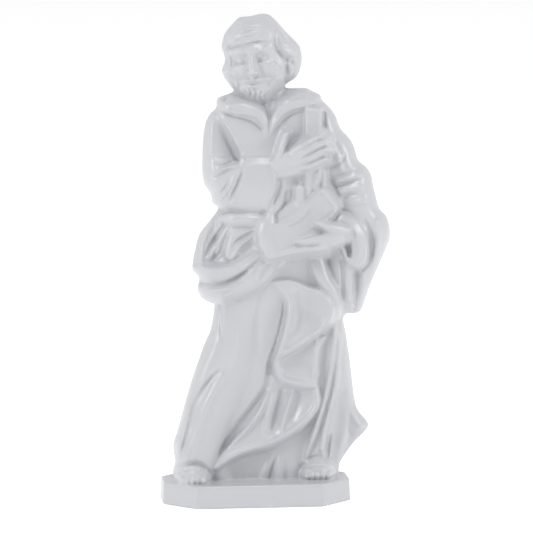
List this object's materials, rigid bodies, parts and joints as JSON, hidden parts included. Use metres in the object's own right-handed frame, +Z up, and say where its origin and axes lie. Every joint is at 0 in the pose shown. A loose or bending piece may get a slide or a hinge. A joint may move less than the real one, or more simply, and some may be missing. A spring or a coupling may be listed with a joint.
{
  "type": "saint joseph statue",
  "caption": "small moulded plastic devotional figure of a standing bearded carpenter in a draped cloak, holding his tools, in one piece with its low base",
  "frame": {"origin": "centre of the base's flat underside", "axes": "+Z up through the figure; the base is long along X; the figure faces -Y"},
  "size_m": [0.0463, 0.0195, 0.0981],
  "materials": {
    "white_plastic": "cool white moulded plastic, softly glossy"
  },
  "bodies": {
    "root": {"saint_joseph_statue": "white_plastic"}
  },
  "joints": []
}
